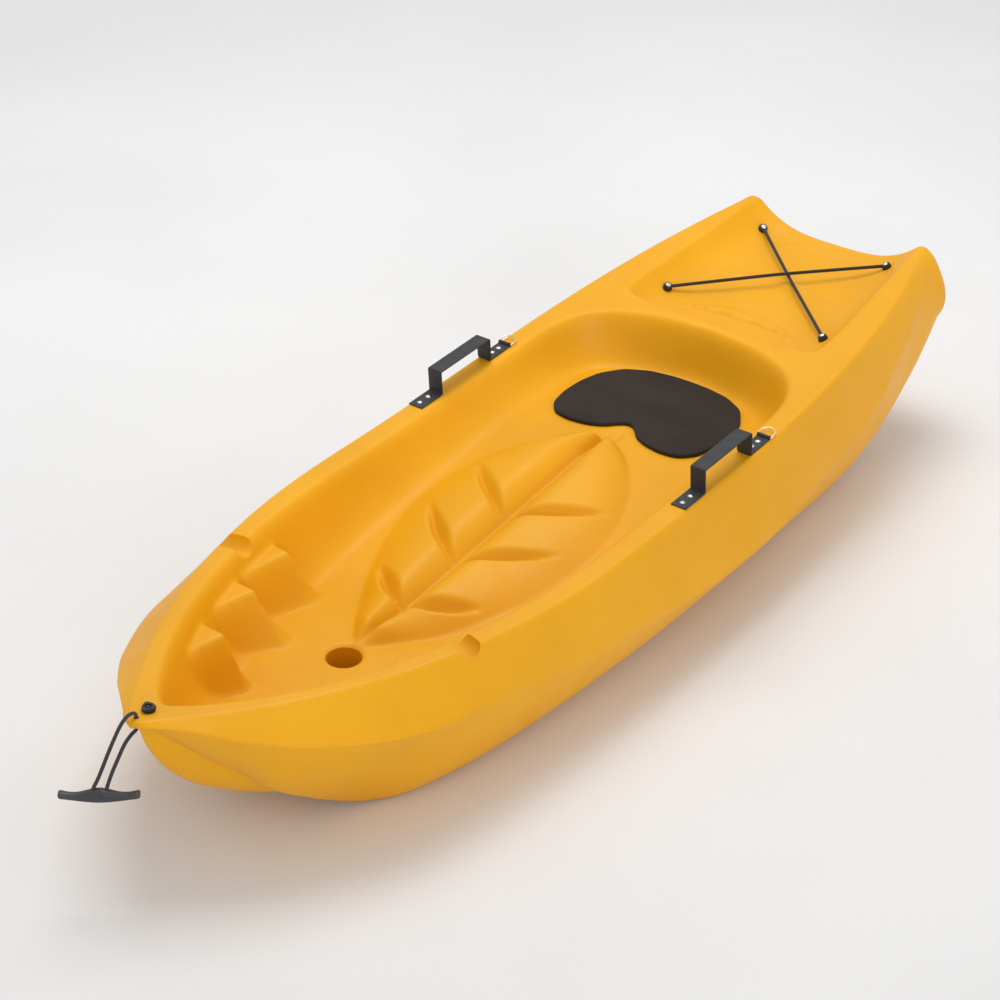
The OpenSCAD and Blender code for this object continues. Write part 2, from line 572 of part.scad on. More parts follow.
hull();
seat_pad();
drain_insert();
drain_seal();
drain_plug();
bow_rope();
rope_toggle();
bungee_cord_upper();
bungee_cord_lower();
bungee_eyelet_front_left();
bungee_eyelet_front_right();
bungee_eyelet_rear_left();
bungee_eyelet_rear_right();
bungee_screws();
bungee_inserts();
handle_inserts();
left_front_foot();
left_front_leg();
left_grip();
left_rear_leg();
left_rear_foot();
left_foot_screws();
left_ring();
right_front_foot();
right_front_leg();
right_grip();
right_rear_leg();
right_rear_foot();
right_foot_screws();
right_ring();
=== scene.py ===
"""The looks of a small sit-on-top kayak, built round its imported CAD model.

The frame is the model's own, in metres: +X is the paddler's left, -Y the bow and
Z = 0 the ground. The hull's lines are drawn in millimetres at stations counted
from near amidships, as the CAD draws them, and to_frame() brings them into metres.
"""

import math

import bpy
import numpy as np
from mathutils import Matrix, Vector


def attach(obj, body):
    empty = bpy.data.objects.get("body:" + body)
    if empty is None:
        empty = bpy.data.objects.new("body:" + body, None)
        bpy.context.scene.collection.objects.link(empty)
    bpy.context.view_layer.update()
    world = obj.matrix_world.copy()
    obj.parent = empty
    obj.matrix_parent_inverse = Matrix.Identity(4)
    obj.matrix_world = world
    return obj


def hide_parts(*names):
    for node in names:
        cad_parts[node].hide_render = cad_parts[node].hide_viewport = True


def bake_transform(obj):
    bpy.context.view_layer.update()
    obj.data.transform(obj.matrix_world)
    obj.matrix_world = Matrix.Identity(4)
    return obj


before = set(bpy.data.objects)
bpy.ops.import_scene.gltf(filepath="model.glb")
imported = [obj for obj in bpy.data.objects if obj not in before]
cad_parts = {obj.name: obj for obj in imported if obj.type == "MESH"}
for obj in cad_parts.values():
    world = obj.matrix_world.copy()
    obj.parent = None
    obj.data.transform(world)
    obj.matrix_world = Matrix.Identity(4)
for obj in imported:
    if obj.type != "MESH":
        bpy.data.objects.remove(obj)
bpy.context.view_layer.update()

MM = 0.001
MID_STATION = 12.25
TAU = 2 * math.pi


def to_frame(points):
    """Millimetre points on the drawing's stations, as metre points in the frame."""
    p = np.asarray(points, float)
    return (p - np.array([0, MID_STATION, 0])) * MM


# ---------------------------------------------------------------- small tools

def clamp01(t):
    return np.clip(t, 0.0, 1.0)


def ease(t):
    u = clamp01(t)
    return u * u * (3 - 2 * u)


def ramp(t, w=0.2):
    """A straight ramp from 0 to 1 with its two ends rounded over a share w."""
    u, m = clamp01(t), 1 / (1 - w)
    start = m * u * u / (2 * w)
    middle = m * (u - w / 2)
    end = 1 - m * (1 - u) ** 2 / (2 * w)
    return np.where(u < w, start, np.where(u < 1 - w, middle, end))


def lerp(a, b, t):
    return a + (b - a) * t


def line(table, y, column):
    """A column of a table of stations at y, by a cubic through the stations."""
    t = np.asarray(table, float)
    ys, v = t[:, 0], t[:, column]
    before = np.maximum(np.arange(len(ys)) - 1, 0)
    after = np.minimum(np.arange(len(ys)) + 1, len(ys) - 1)
    slope = (v[after] - v[before]) / (ys[after] - ys[before])
    i = np.clip(np.searchsorted(ys, y, side="right") - 1, 0, len(ys) - 2)
    h = ys[i + 1] - ys[i]
    u = clamp01((y - ys[i]) / h)
    return ((2*u**3 - 3*u**2 + 1) * v[i] + (u**3 - 2*u**2 + u) * slope[i] * h
            + (3*u**2 - 2*u**3) * v[i + 1] + (u**3 - u**2) * slope[i + 1] * h)


def lengths_along(path):
    """The length of a path up to each of its points."""
    return np.concatenate([[0], np.cumsum(np.linalg.norm(np.diff(path, axis=0), axis=1))])


def bell(width):
    """The offsets and the weights of a smoothing kernel, width in samples."""
    reach = int(3 * width) + 1
    k = np.arange(-reach, reach + 1)
    weights = np.exp(-0.5 * (k / max(width, 0.3)) ** 2)
    return k, weights / weights.sum()


def blurred(field, step, sigma, axis, before):
    """A field smoothed along one axis; before is how it goes on in front of its edge."""
    k, kernel = bell(sigma / step)
    reach = k[-1]
    pad = [(0, 0), (0, 0)]
    pad[axis] = (reach, 0)
    wide = np.pad(field, pad, mode=before)
    pad[axis] = (0, reach)
    wide = np.pad(wide, pad, mode="edge")
    n = field.shape[axis]
    return sum(w * np.take(wide, np.arange(i, i + n), axis) for i, w in enumerate(kernel))


# ---------------------------------------------------------------- the hull's lines

# [station, half-breadth, height] of the edge between deck and hull
CHINE = [[-919, 9, 263], [-912, 20, 262], [-895, 39, 260], [-866, 74, 253], [-823, 124, 234],
         [-745, 192, 211], [-610, 264, 189], [-450, 291, 179], [-270, 308, 161], [-100, 317, 142],
         [60, 320, 131], [250, 316, 134], [450, 298, 162], [600, 285, 200], [700, 267, 246],
         [790, 243, 284], [860, 222, 308], [905, 205, 334]]
# of the crease beside the centre keel
CREASE = [[-919, 2, 257], [-901, 3, 254], [-877, 20, 232], [-817, 42, 168], [-776, 62, 128],
          [-744, 79, 94], [-693, 88, 60], [-650, 84, 44], [-560, 76, 36], [-300, 75, 34],
          [500, 75, 34], [700, 72, 60], [820, 66, 112], [905, 60, 182]]
# of the flat strip under each side keel
STRIP = [[-919, 4, 257], [-901, 6, 254], [-877, 23, 233], [-817, 47, 168], [-776, 70, 129],
         [-744, 92, 93], [-693, 108, 58], [-651, 114, 30], [-600, 132, 8], [-540, 152, 0],
         [-400, 165, 0], [-100, 166, 0], [450, 164, 0], [600, 158, 4], [700, 150, 24],
         [800, 138, 76], [905, 120, 168]]
# of the point that the turn of the bilge bends round
BILGE = [[-919, 7, 259], [-901, 14, 256], [-877, 46, 238], [-817, 90, 172], [-776, 116, 134],
         [-744, 132, 100], [-693, 138, 64], [-616, 152, 20], [-552, 198, 5], [-436, 242, 4],
         [-300, 258, 4], [-120, 259, 4], [0, 250, 4], [129, 238, 5], [300, 236, 5],
         [450, 242, 6], [650, 256, 34], [800, 268, 110], [905, 282, 214]]
BOW_Y, LIP_END_Y, STERN_Y, TRANSOM_Y = -919, -901, 905, 945
NOSE_LEN, NOSE_MID_Z, TRANSOM_MID_Z = 9, 263, 222
RIM_Z, RIM_HALF = 254, 280

# The cockpit: where its mouth starts, is at its widest, and ends
COCKPIT_FRONT, WIDE_FRONT, WIDE_REAR, COCKPIT_REAR, MOUTH_HALF = -852, -161, 200, 488, 238
FLOOR_Z, SEAT_RISE = 130, 78
SEAT_Z = FLOOR_Z + SEAT_RISE
WALL_FORE, WALL_AFT = 70, 58            # breadth of the curve from rim to floor
MOUND_FRONT, MOUND_REAR, MOUND_HALF = -446, 200, 168
MOUND_RISE, VALLEY_DEPTH, GROOVE_DEPTH = 38, 34, 6

# The rear well: its front edge, where its floor starts to rise, and the rise to the stern
WELL_FRONT, WELL_RISE_Y, WELL_FLOOR_Z, WELL_RISE = 508, 520, 268, 36

# The holes and the paddle rests
SCUPPER_Y, SCUPPER_R, SCUPPER_LIP = -476, 28, 6
ROPE_HOLE_Y, ROPE_HOLE_R = -905, 4
PLUG_Y, DRAIN_R, DRAIN_LEN = -881, 9, 14
REST_X, REST_Y, REST_R, REST_DEPTH, REST_TURN = 233, -470, 20.5, 22, 15


def sheer(y):
    """Height of the rim."""
    return (RIM_Z + 100 * np.maximum(0, (y + 300) / 1215) ** 1.8
            + 16 * np.maximum(0, (-500 - y) / 415) ** 2)


def band(y):
    """Half-breadth of the rim's outer edge."""
    bow = RIM_HALF * np.maximum(0.0001, 1 - clamp01((-150 - y) / 769) ** 2.2) ** 0.95
    stern = RIM_HALF * (1 - 0.343 * np.maximum(0, (y - 150) / 760) ** 2.5)
    return np.where(y < -150, bow, stern)


def mouth(y):
    """Half-breadth of the cockpit's mouth."""
    ahead = clamp01((WIDE_FRONT - y) / (WIDE_FRONT - COCKPIT_FRONT))
    behind = clamp01((y - WIDE_REAR) / (COCKPIT_REAR - WIDE_REAR))
    fore = MOUTH_HALF * (1 - ahead ** 2.2) ** 0.8
    aft = MOUTH_HALF * (1 - behind ** 5) ** 0.4545
    inside = (y > COCKPIT_FRONT) & (y < COCKPIT_REAR)
    return np.where(inside, np.minimum(fore, aft), 0)


def well(y):
    """Half-breadth of the rear well's mouth."""
    share = (1 - (1 - clamp01((y - WELL_FRONT) / 34)) ** 2.4) ** 0.42
    return np.where(y <= WELL_FRONT, 0, lerp(198, 172, clamp01((y - 590) / 325)) * share)


def floor_z(y):
    """Height of the cockpit's floor, which rises to the seat and a little at the bow."""
    round_scupper = 10 * ease((y + 640) / 90) * ease((-330 - y) / 90)
    at_bow = 20 * ease((-600 - y) / 200)
    return FLOOR_Z + round_scupper + at_bow + SEAT_RISE * ramp((y + 450) / 655)


def mound_z(x, y):
    """The leg mounds, whose plan is a leaf split by a valley on the centre line."""
    inside = (y > MOUND_FRONT) & (y < MOUND_REAR)
    t = clamp01((y - MOUND_FRONT) / (MOUND_REAR - MOUND_FRONT))
    w = np.where(inside, MOUND_HALF * np.abs(np.sin(math.pi * t ** 1.25)) ** 0.62, 0)
    strength = ease(w / 48) * lerp(0.62, 1, ease(w / 130))
    crown = MOUND_RISE * np.maximum(0, 1 - (x / np.maximum(w, 1)) ** 2.3) ** 1.05
    valley = VALLEY_DEPTH * np.maximum(0, 1 - x / np.clip(0.36 * w, 13, 48)) ** 1.8
    groove = GROOVE_DEPTH * np.maximum(0, 1 - x / 16) * ease((y - 110) / 60) * ease((256 - y) / 24)
    return np.where(w > 1, (crown - valley) * strength, 0) - groove


# The heel notches: [station at the valley, station at the outer end, outer half-breadth]
NOTCHES = [[-333, -268, 104], [-205, -104, 136], [-75, 22, 136]]
NOTCH_DEPTH, NOTCH_FORE, NOTCH_AFT = 23, 12, 21


def notch_z(x, y):
    """The notches, which are lenses in plan with the steeper side forward."""
    depth = np.zeros_like(x)
    for inner, outer, reach in NOTCHES:
        t = clamp01(x / reach)
        lens = np.sin(math.pi * t ** 0.8) ** 0.75
        d = y - lerp(inner, outer, t ** 1.3) + 6 * lens
        fore, aft = NOTCH_FORE * lens + 0.01, NOTCH_AFT * lens + 0.01
        share = np.where(d < 0, 1 + d / fore, 1 - (np.maximum(d, 0) / aft) ** 1.15) * (x < reach)
        depth = np.maximum(depth, NOTCH_DEPTH * lens * clamp01(share))
    return -depth


# The foot steps on each side wall: [aft edge, half-breadth of the top's sharp corner,
# station and half-breadth of the tip that its side runs down to on the floor, length]
STEPS = [[-626, 96, -598, 54, 76], [-512, 142, -474, 80, 79], [-398, 174, -352, 126, 100]]
STEP_TOP = 220
LEDGE = 10          # breadth of a step's top where it starts


def step_z(x, y, base):
    """The foot steps: flat-topped wedges off the side walls, each with an upright aft face."""
    z = base.copy()
    for aft, corner, tip_y, tip_x, length in STEPS:
        lead = clamp01((aft - y) / length)
        broad = float(mouth(np.array(float(aft)))) - corner
        top_edge = mouth(y) - lerp(broad, LEDGE, lead)
        run = lerp(corner - tip_x, 24, lead)
        inward = clamp01((top_edge - x) / run)
        side = base + (STEP_TOP - base) * (1 - inward) ** 1.5
        across = clamp01((corner - x) / (corner - tip_x))
        edge = lerp(aft, tip_y, across ** 1.5)
        over = clamp01((y - edge) / 5)
        here = (y > aft - length) & (mouth(y) > 1)
        z = np.where(here, np.maximum(z, lerp(side, base, over)), z)
    return z


# The rear well's shallow fans: [station, bend of the crease, height, half-breadth, bow]
FANS = [[598, -11, 8.0, 118, 43], [741, -20, 6.0, 120, 24], [868, -9, 6.0, 90, 23]]


def well_detail(x, y):
    """The shallow moulded drain fans on the rear well's floor."""
    z = np.zeros_like(x)
    for y0, bend, lift, reach, bow in FANS:
        t = clamp01(x / reach)
        crease = y0 + bend * t ** 2
        far = crease + bow * (1 - t ** 2) + 0.01
        d = (y - crease) / (far - crease)
        z += np.where((t < 1) & (d > 0) & (d < 1), lift * (1 - d) * ease(d / 0.08), 0)
    return z


def deck_z(x, y):
    """Height of the deck, the cockpit and the rear well, for half-breadths x >= 0."""
    rim, m, wl = sheer(y), mouth(y), well(y)
    turn = (mouth(y + 2) - mouth(y - 2)) / 4
    d = (m - x) / np.sqrt(1 + turn * turn)
    low = floor_z(y) + mound_z(x, y) + notch_z(x, y)
    width = lerp(WALL_FORE, WALL_AFT, ease((y - 100) / 300))
    cockpit = rim - (rim - low) * (1 - (1 - clamp01(d / width)) ** 2.3)
    cockpit = np.where(y < -330, step_z(x, y, cockpit), cockpit)
    floor = WELL_FLOOR_Z + WELL_RISE * np.maximum(0, (y - WELL_RISE_Y) / 395) ** 1.35
    square = lerp(8, 5, clamp01((y - WELL_RISE_Y) / 350)) - 1.8 * clamp01((y - 870) / 35)
    dish = (1 - (x / np.maximum(wl, 1)) ** square) * ease((y - WELL_FRONT) / 32)
    rear = rim - (rim - floor) * dish + well_detail(x, y) * ease((y - 560) / 20)
    z = np.where(m > x, cockpit, np.where(wl > x, rear, rim))
    out = np.hypot(x, y - SCUPPER_Y) - SCUPPER_R
    inward = np.clip(SCUPPER_LIP - out, 0, SCUPPER_LIP)
    lip = SCUPPER_LIP - np.sqrt(np.maximum(0, SCUPPER_LIP**2 - inward ** 2))
    return z - lip


# ---------------------------------------------------------------- the hull's skin

FIELD_STEP = 2.0


def deck_field():
    """The deck's heights on a plan grid, with every edge rounded as moulding rounds it."""
    xs = np.arange(0, 336, FIELD_STEP)
    ys = np.arange(-936, 960, FIELD_STEP)
    grid_y, grid_x = np.meshgrid(ys, xs, indexing="ij")
    raw = deck_z(grid_x, grid_y)

    def rounded(sigma):
        return blurred(blurred(raw, FIELD_STEP, sigma, 0, "edge"), FIELD_STEP, sigma, 1, "reflect")

    crisp, fine, broad = rounded(1.5), rounded(2.2), rounded(5.5)
    edge, before_well = mouth(grid_y), grid_y < 498
    near_rim = np.exp(-((grid_x - edge) / 14) ** 2)
    end = np.exp(-((grid_y - 480) / 22) ** 2) * before_well + np.exp(-((grid_y + 850) / 16) ** 2)
    share = clamp01(np.maximum(near_rim * before_well, end))
    steps = ease((grid_y + 705) / 20) * ease((-350 - grid_y) / 24) * ease((edge + 8 - grid_x) / 10)
    share = share * (1 - 0.92 * steps * (grid_x < edge - 6))
    return xs, ys, lerp(lerp(fine, crisp, steps), broad, share)


def sampled(field, x, y):
    """The field's height at any point, straight between its grid points."""
    xs, ys, z = field
    fx = np.clip((np.abs(x) - xs[0]) / FIELD_STEP, 0, len(xs) - 1.001)
    fy = np.clip((y - ys[0]) / FIELD_STEP, 0, len(ys) - 1.001)
    i, j = fy.astype(int), fx.astype(int)
    u, v = fy - i, fx - j
    return ((1 - u) * (1 - v) * z[i, j] + (1 - u) * v * z[i, j + 1]
            + u * (1 - v) * z[i + 1, j] + u * v * z[i + 1, j + 1])


def keel_z(y):
    """Height of the keel on the centre line."""
    t = clamp01((y - LIP_END_Y) / 330)
    bow = 8 + 246 * (1 - (1 - (1 - t) ** 2) ** 0.65)
    stern = 8 + 160 * np.maximum(0, (y - 600) / 305) ** 2.1
    return np.where(y < LIP_END_Y, 254, np.where(y < 600, bow, stern))


DECK_POINTS = 150       # points of a half section over the deck


def half_rings(y, field):
    """For each station, half a section from the keel round to the centre of the deck."""
    def column(x, z):
        return np.stack([x, z], -1)[:, None, :]

    def run(a, b, n, first=0):
        t = (np.arange(first, n) / n)[None, :, None]
        return a * (1 - t) + b * t

    ch = column(line(CHINE, y, 1), line(CHINE, y, 2))
    keel = column(np.zeros_like(y), keel_z(y))
    cr = column(line(CREASE, y, 1), np.maximum(line(CREASE, y, 2), keel_z(y) + 0.5))
    st = column(line(STRIP, y, 1), np.maximum(0, line(STRIP, y, 2)))
    bi = column(line(BILGE, y, 1), line(BILGE, y, 2))
    strip_w = np.maximum(0.5, 12 * clamp01((y + 919) / 400))[:, None, None] * np.array([1.0, 0.0])
    inner = st - strip_w
    inner[..., 0] = np.maximum(inner[..., 0], cr[..., 0] + 0.3)
    outer = st + strip_w
    edge = np.minimum(np.maximum(band(y), ch[:, 0, 0] * 0.6), ch[:, 0, 0] - 1.5)
    top = column(edge, sheer(y) - 0.5)
    t = (np.arange(8) / 8)[None, :, None]
    belly = column(line(CREASE, y, 1) * 0.5, lerp(keel_z(y), cr[:, 0, 1], 0.25))
    bottom = keel * (1 - t) ** 2 + (2 * belly - 0.5 * (keel + cr)) * 2 * t * (1 - t) + cr * t * t
    hollow = column((cr[:, 0, 0] + inner[:, 0, 0]) / 2, lerp(cr[:, 0, 1], inner[:, 0, 1], 0.72))
    to_strip = cr * (1 - t) ** 2 + (2 * hollow - 0.5 * (cr + inner)) * 2 * t * (1 - t) + inner * t * t
    t = (np.arange(26) / 26)[None, :, None]
    bilge = outer * (1 - t) ** 2 + bi * 2 * t * (1 - t) + ch * t * t
    t = (np.arange(18) / 18)[None, :, None]
    bulge = (2.5 * clamp01((y + 900) / 80))[:, None, None] * np.sin(math.pi * t) * np.array([1.0, 0.0])
    side = run(ch, top, 18) + bulge
    u = np.linspace(1, 0, DECK_POINTS)[None, :]
    x = edge[:, None] * u
    z = sampled(field, x, np.repeat(y[:, None], DECK_POINTS, 1))
    deck = np.stack([x, z], -1)
    return np.concatenate([bottom, to_strip, run(inner, outer, 4), bilge, side, deck], 1)


def soften(rings, sigma):
    """Each closed section smoothed along its own length, which rounds its corners."""
    out = np.empty_like(rings)
    step = 1.5
    for i, ring in enumerate(rings):
        closed = np.vstack([ring, ring[:1]])
        s = lengths_along(closed)
        n = max(40, int(s[-1] / step))
        even = np.linspace(0, s[-1], n, endpoint=False)
        k, kernel = bell(min(sigma, s[-1] / 60) / (s[-1] / n))
        for c in range(2):
            v = np.interp(even, s, closed[:, c])
            v = sum(w * np.roll(v, -j) for j, w in zip(k, kernel))
            out[i, :, c] = np.interp(s[:-1], np.append(even, s[-1]), np.append(v, v[0]))
    return out


def hull_stations():
    """Close together round the nose and the stern, even along the body."""
    nose = BOW_Y + NOSE_LEN * (1 - np.cos(np.linspace(0.12, math.pi / 2, 9)))
    body = np.arange(-906, STERN_Y, 4.0)
    tail = STERN_Y + (TRANSOM_Y - STERN_Y) * np.sin(np.linspace(0, math.pi / 2, 22))[:-1]
    return np.concatenate([nose, body, tail])


def hull_rings(field):
    """Every closed section of the hull, with its nose and its stern rounded off."""
    y = hull_stations()
    half = half_rings(np.minimum(y, STERN_Y), field)
    nose = np.sqrt(np.maximum(0.02, 1 - (1 - clamp01((y - BOW_Y) / NOSE_LEN)) ** 2))[:, None]
    half[..., 0] *= nose
    half[..., 1] = NOSE_MID_Z + (half[..., 1] - NOSE_MID_Z) * nose
    past = clamp01((y - STERN_Y) / (TRANSOM_Y - STERN_Y))
    share = np.maximum(0.03, (1 - past ** 2.4) ** 0.42)[:, None]
    half[..., 0] *= 0.8 + 0.2 * share
    half[..., 1] = TRANSOM_MID_Z + (half[..., 1] - TRANSOM_MID_Z) * share
    mirror = half[:, -2:0:-1] * np.array([-1.0, 1.0])
    rings = soften(np.concatenate([half, mirror], 1), 3.0)
    points = np.empty(rings.shape[:2] + (3,))
    points[..., 0] = rings[..., 0]
    points[..., 1] = y[:, None]
    points[..., 2] = rings[..., 1]
    return points


def mesh_object(name, vertices, faces, material, smooth=True, sharp=None):
    """A mesh in the scene; edges over sharp degrees stay sharp."""
    mesh = bpy.data.meshes.new(name)
    mesh.from_pydata([tuple(v) for v in vertices], [], [tuple(f) for f in faces])
    mesh.validate()
    mesh.materials.append(material)
    mesh.polygons.foreach_set("use_smooth", [smooth] * len(mesh.polygons))
    obj = bpy.data.objects.new(name, mesh)
    bpy.context.scene.collection.objects.link(obj)
    if sharp is not None:
        mesh.update()
        mesh.set_sharp_from_angle(angle=math.radians(sharp))
    return obj


def skin_faces(n_rings, n_points):
    """Quads between rings of points, and one face over each end."""
    faces = []
    for i in range(n_rings - 1):
        a, b = i * n_points, (i + 1) * n_points
        for j in range(n_points):
            k = (j + 1) % n_points
            faces.append((a + j, a + k, b + k, b + j))
    last = (n_rings - 1) * n_points
    return faces + [tuple(range(n_points - 1, -1, -1)), tuple(last + j for j in range(n_points))]


def cut(obj, cutters):
    """obj with the cutters taken out of it."""
    for cutter in cutters:
        m = obj.modifiers.new("cut", "BOOLEAN")
        m.operation = "DIFFERENCE"
        m.solver = "EXACT"
        m.object = cutter
        bpy.context.view_layer.objects.active = obj
        bpy.ops.object.modifier_apply(modifier=m.name)
        bpy.data.objects.remove(cutter)


def cylinder(name, at, radius, height, material, sides):
    """An upright cylinder that stands at a point."""
    angles = np.arange(sides) * TAU / sides
    ring = np.stack([np.cos(angles), np.sin(angles), np.zeros(sides)], -1) * radius
    low = ring + np.array(at)
    high = low + np.array([0, 0, height])
    return mesh_object(name, np.vstack([low, high]), skin_faces(2, sides), material)


def rest_bore(side, material):
    """The round-ended scoop that a paddle's shaft lies in, across the cockpit's rim."""
    sides, swell = 72, np.radians(np.linspace(0, 88, 14))
    profile = [(-0.05, 1.0)] + [(REST_R * MM * math.sin(a), math.cos(a)) for a in swell]
    angles = np.arange(sides) * TAU / sides
    rings = [np.stack([np.cos(angles) * r * REST_R * MM, np.sin(angles) * r * REST_R * MM,
                       np.full(sides, along)], -1) for along, r in profile]
    bore = mesh_object("rest_bore", np.vstack(rings), skin_faces(len(rings), sides), material)
    rim = float(sheer(np.array(float(REST_Y))))
    at = to_frame([side * REST_X, REST_Y - 1.5, rim + REST_R - REST_DEPTH])
    lie = Matrix.Rotation(math.radians(side * 90), 4, "Y")
    turn = Matrix.Rotation(math.radians(-side * REST_TURN), 4, "Z")
    bore.data.transform(Matrix.Translation(at) @ (turn @ lie))
    return bore


def make_hull(material):
    """The one-piece moulded hull, with its holes and paddle rests cut."""
    points = hull_rings(deck_field())
    n, m = points.shape[:2]
    hull = mesh_object("moulded_hull", to_frame(points.reshape(-1, 3)), skin_faces(n, m), material)
    rim = float(sheer(np.array(float(PLUG_Y))))
    holes = [("scupper_bore", SCUPPER_Y, SCUPPER_R, -20, 260, 128),
             ("rope_bore", ROPE_HOLE_Y, ROPE_HOLE_R, 200, 120, 32),
             ("drain_bore", PLUG_Y, DRAIN_R, rim - DRAIN_LEN, 60, 48)]
    cutters = []
    for name, y, radius, low, height, sides in holes:
        at = to_frame([0, y, low])
        cutters.append(cylinder(name, at, radius * MM, height * MM, material, sides))
    cutters += [rest_bore(side, material) for side in (-1, 1)]
    cut(hull, cutters)
    hull.data.set_sharp_from_angle(angle=math.radians(40))
    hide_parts("hull")
    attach(hull, "hull_body")
    return hull


# ---------------------------------------------------------------- materials

class Nodes:
    """A short way to build a material's node tree."""

    def __init__(self, name):
        self.material = bpy.data.materials.new(name)
        self.material.use_nodes = True
        self.tree = self.material.node_tree
        self.shader = self.tree.nodes["Principled BSDF"]

    def add(self, kind, inputs=None, **settings):
        node = self.tree.nodes.new(kind)
        for key, value in settings.items():
            setattr(node, key, value)
        for key, value in (inputs or {}).items():
            if isinstance(value, bpy.types.NodeSocket):
                self.tree.links.new(value, node.inputs[key])
            else:
                node.inputs[key].default_value = value
        return node

    def set(self, **values):
        for key, value in values.items():
            socket = self.shader.inputs[key.replace("_", " ")]
            if isinstance(value, bpy.types.NodeSocket):
                self.tree.links.new(value, socket)
            else:
                socket.default_value = value

    def math(self, operation, a, b=0.0, c=0.0):
        return self.add("ShaderNodeMath", {0: a, 1: b, 2: c}, operation=operation).outputs[0]

    def place(self):
        return self.add("ShaderNodeTexCoord").outputs["Object"]

    def noise(self, scale, detail=3.0, rough=0.5, vector=None):
        inputs = {"Vector": vector or self.place(), "Scale": scale,
                  "Detail": detail, "Roughness": rough}
        return self.add("ShaderNodeTexNoise", inputs).outputs[0]

    def ramp(self, value, low, high, position=(0.35, 0.65)):
        node = self.add("ShaderNodeValToRGB", {0: value})
        for element, where, colour in zip(node.color_ramp.elements, position, (low, high)):
            element.position = where
            element.color = colour if hasattr(colour, "__len__") else (colour, colour, colour, 1)
        return node.outputs[0]

    def bump(self, height, strength, distance, before=None):
        inputs = {"Height": height, "Strength": strength, "Distance": distance}
        if before is not None:
            inputs["Normal"] = before
        return self.add("ShaderNodeBump", inputs).outputs[0]


def rgb(r, g, b):
    """A colour given as sRGB bytes."""
    def linear(c):
        c /= 255
        return c / 12.92 if c <= 0.04045 else ((c + 0.055) / 1.055) ** 2.4
    return (linear(r), linear(g), linear(b), 1)


def moulded_yellow():
    """Rotomoulded polyethylene: a fine orange peel, cloudy colour and faint scuffs."""
    n = Nodes("yellow_polyethylene")
    cloud = n.noise(5.0, 3.0)
    colour = n.ramp(cloud, rgb(226, 160, 12), rgb(232, 166, 17))
    scuff = n.ramp(n.noise(60.0, 6.0, 0.65), 0.0, 1.0, (0.60, 0.74))
    mixed = n.add("ShaderNodeMix", {"Factor": n.math("MULTIPLY", scuff, 0.04), 6: colour,
                                    7: rgb(236, 184, 70)}, data_type="RGBA").outputs[2]
    rough = n.ramp(n.noise(18.0, 4.0), 0.40, 0.52)
    peel = n.noise(900.0, 2.0, 0.5)
    wave = n.noise(14.0, 2.0, 0.5)
    normal = n.bump(peel, 0.10, 0.0006, n.bump(wave, 0.10, 0.004))
    n.set(Base_Color=mixed, Roughness=rough, Normal=normal)
    n.set(IOR=1.50, Subsurface_Weight=0.06, Subsurface_Radius=(0.012, 0.006, 0.002))
    n.set(Subsurface_Scale=1.0, Specular_IOR_Level=0.25)
    return n.material


def foam_black():
    """Closed-cell foam: a matt skin with fine cells."""
    n = Nodes("black_foam")
    cells = n.add("ShaderNodeTexVoronoi", {"Vector": n.place(), "Scale": 900.0}).outputs[0]
    grain = n.noise(420.0, 4.0, 0.6)
    colour = n.ramp(n.noise(9.0, 4.0), rgb(40, 34, 31), rgb(48, 42, 39))
    normal = n.bump(cells, 0.25, 0.0005, n.bump(grain, 0.15, 0.0006))
    n.set(Base_Color=colour, Roughness=n.ramp(grain, 0.78, 0.92), Normal=normal)
    n.set(Sheen_Weight=0.05, Sheen_Roughness=0.5, Specular_IOR_Level=0.2)
    return n.material


def plastic(name, low, high, rough=(0.38, 0.52), grain=700.0):
    """Moulded nylon with a fine spark texture."""
    n = Nodes(name)
    colour = n.ramp(n.noise(40.0, 4.0), low, high)
    n.set(Base_Color=colour, Roughness=n.ramp(n.noise(90.0, 3.0), rough[0], rough[1]))
    n.set(Normal=n.bump(n.noise(grain, 3.0, 0.6), 0.22, 0.0004), Specular_IOR_Level=0.45)
    return n.material


def metal(name, colour, rough, grain=500.0):
    """Metal with fine brush marks and a cloudy tint."""
    n = Nodes(name)
    stretched = n.add("ShaderNodeMapping", {"Vector": n.place(), "Scale": (1.0, 1.0, 5.0)}).outputs[0]
    brushed = n.noise(grain, 3.0, 0.6, stretched)
    tint = n.ramp(n.noise(70.0, 3.0), tuple(0.82 * c for c in colour[:3]) + (1,), colour)
    n.set(Base_Color=tint, Roughness=n.ramp(brushed, rough[0], rough[1]), Metallic=1.0)
    n.set(Normal=n.bump(brushed, 0.12, 0.0002))
    return n.material


def braid(name, low, high, pitch, strands):
    """A braided cover, from the cord's own length and turn that its mesh carries."""
    n = Nodes(name)

    def value(attribute):
        return n.add("ShaderNodeAttribute", attribute_name=attribute).outputs["Fac"]

    turn = n.math("ARCTAN2", value("turn_sin"), value("turn_cos"))
    along = n.math("MULTIPLY", value("along"), TAU / pitch)
    around = n.math("MULTIPLY", turn, strands / 2)
    left = n.math("SINE", n.math("ADD", along, around))
    right = n.math("SINE", n.math("SUBTRACT", along, around))
    weave = n.math("MULTIPLY_ADD", n.math("MAXIMUM", left, right), 0.5, 0.5)
    colour = n.ramp(weave, low, high, (0.1, 0.95))
    fuzz = n.noise(1500.0, 2.0)
    normal = n.bump(weave, 0.85, 0.0008, n.bump(fuzz, 0.25, 0.0003))
    n.set(Base_Color=colour, Roughness=n.ramp(weave, 0.62, 0.82), Normal=normal)
    n.set(Sheen_Weight=0.2, Sheen_Roughness=0.4, Specular_IOR_Level=0.35)
    return n.material


